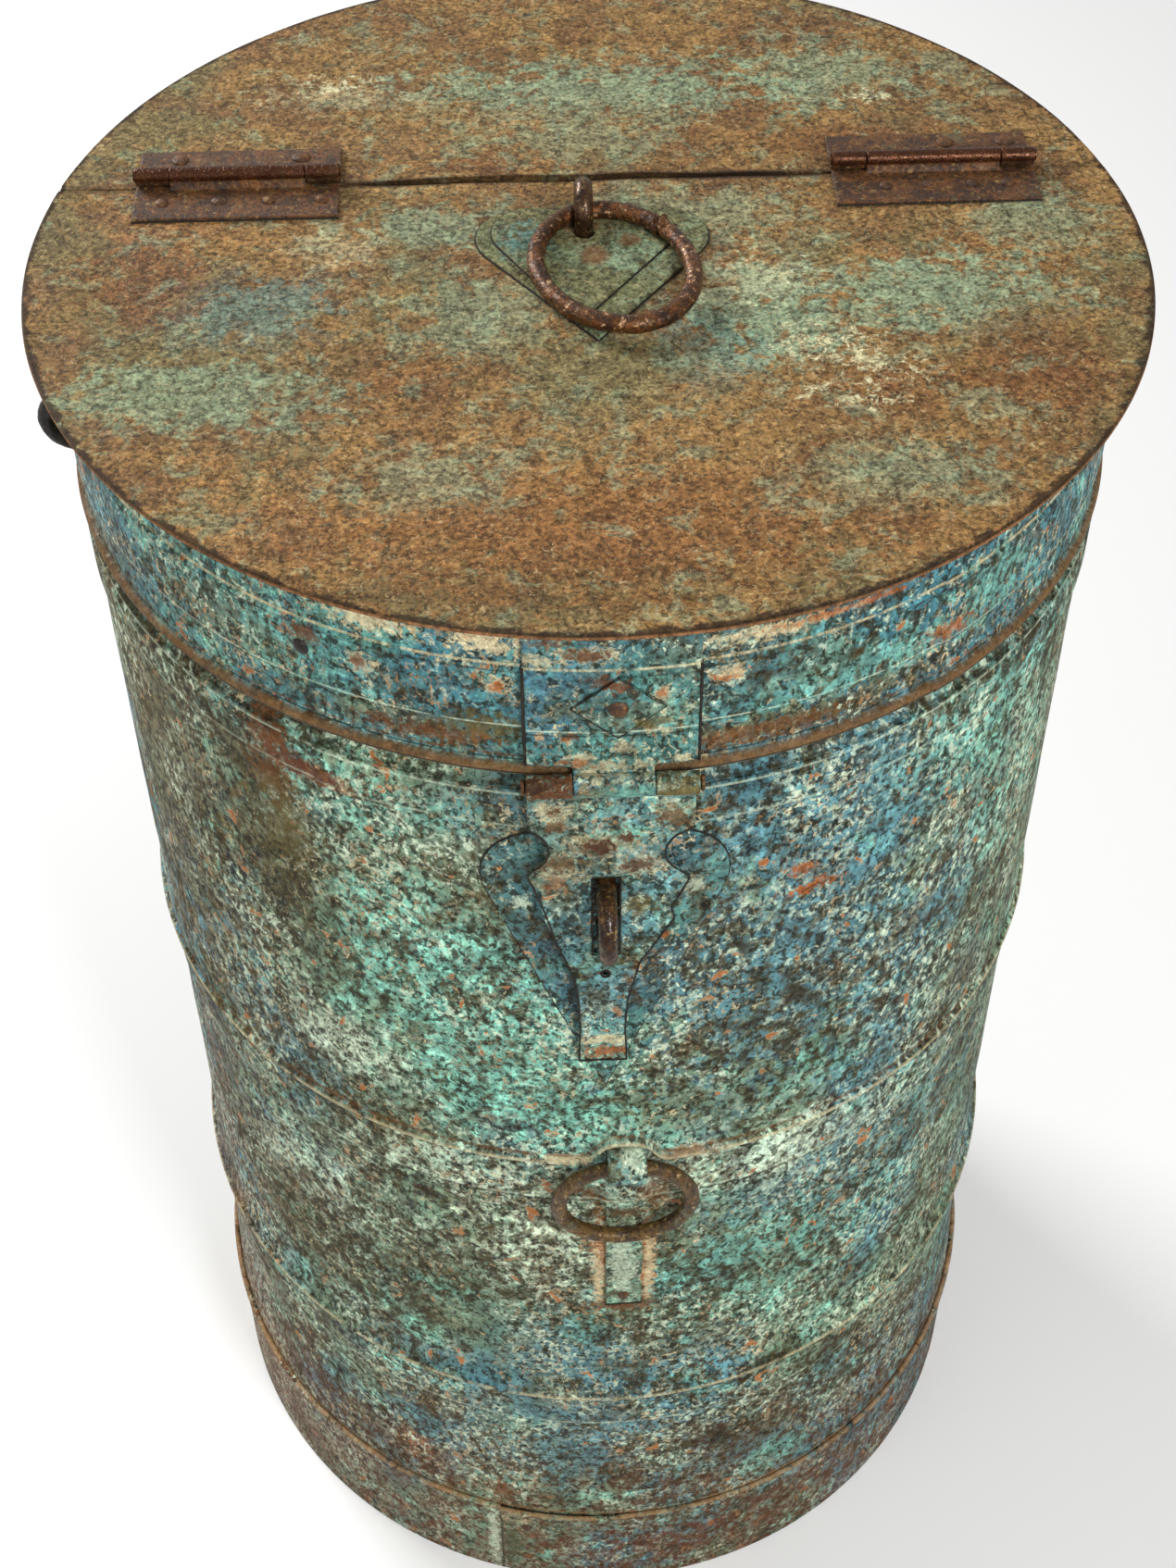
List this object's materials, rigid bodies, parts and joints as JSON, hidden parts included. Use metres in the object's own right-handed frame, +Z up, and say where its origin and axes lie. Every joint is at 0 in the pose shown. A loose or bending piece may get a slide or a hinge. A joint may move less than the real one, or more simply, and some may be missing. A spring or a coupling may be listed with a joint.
{
  "type": "storage barrel",
  "caption": "Rusty round sheet-iron storage barrel with a half lid on butt hinges, a slotted hasp over a staple, and ring handles.",
  "frame": {"origin": "centre of the flat base, on the surface it stands on", "axes": "+Z up along the barrel's axis, the hasp and the front ring face -Y, the hinge line runs along X"},
  "size_m": [0.6645, 0.6646, 1.084],
  "materials": {
    "body_paint": "worn paint over rust",
    "lid_rust": "granular rust with traces of paint",
    "hardware_rust": "dark pitted rust",
    "hasp_paint": "pale worn paint with rust pits",
    "inner_iron": "bare dark rust"
  },
  "bodies": {
    "drum": {"lower_course": "body_paint", "middle_course": "body_paint", "upper_course": "body_paint", "base_band": "body_paint", "lower_hoop": "body_paint", "middle_hoop": "body_paint", "upper_hoop": "body_paint", "rear_skirt": "body_paint", "hasp_heart_plate": "body_paint", "hasp_heart_rivets": "body_paint", "front_ring_strap": "body_paint", "rear_top_plate": "lid_rust", "base_band_rivets": "hardware_rust", "upper_hoop_rivets": "hardware_rust", "rear_skirt_rivets": "hardware_rust", "left_hinge_rear_leaf": "hardware_rust", "right_hinge_rear_leaf": "hardware_rust", "left_hinge_pin": "hardware_rust", "right_hinge_pin": "hardware_rust", "left_rear_leaf_rivets": "hardware_rust", "right_rear_leaf_rivets": "hardware_rust", "hasp_staple": "hardware_rust", "side_staple": "hardware_rust", "front_strap_rivet": "hardware_rust", "bottom_plate": "inner_iron", "mouth_wire": "inner_iron"},
    "lid": {"lid_flap": "lid_rust", "lid_skirt": "body_paint", "lid_skirt_rivet": "hardware_rust", "left_hinge_front_leaf": "hardware_rust", "right_hinge_front_leaf": "hardware_rust", "left_front_leaf_rivets": "hardware_rust", "right_front_leaf_rivets": "hardware_rust", "lid_heart_plate": "lid_rust", "lid_inner_plate": "lid_rust", "lid_staple": "hardware_rust", "hasp_upper_leaf": "body_paint", "hasp_diamond_washer": "body_paint", "hasp_rivet": "hardware_rust", "hasp_pin": "hardware_rust"},
    "hasp": {"hasp_leaf": "hasp_paint"},
    "lid_ring": {"lid_ring": "hardware_rust"},
    "front_ring": {"front_ring": "hardware_rust"}
  },
  "joints": [
    {"name": "lid_open", "type": "hinge", "parent": "drum", "child": "lid", "pos_m": [0, 0.076, 1.0635], "axis": [-1, 0, 0], "range_deg": [0, 105]},
    {"name": "hasp_swing", "type": "hinge", "parent": "lid", "child": "hasp", "pos_m": [0, -0.3145, 0.9455], "axis": [-1, 0, 0], "range_deg": [0, 170]},
    {"name": "lid_ring_swing", "type": "hinge", "parent": "lid", "child": "lid_ring", "pos_m": [-0.0015, 0.027, 1.0638], "axis": [-0.9613, -0.2756, 0], "range_deg": [0, 80]},
    {"name": "front_ring_swing", "type": "hinge", "parent": "drum", "child": "front_ring", "pos_m": [0.0104, -0.3137, 0.5966], "axis": [-0.9994, -0.0332, 0], "range_deg": [0, 165]}
  ]
}
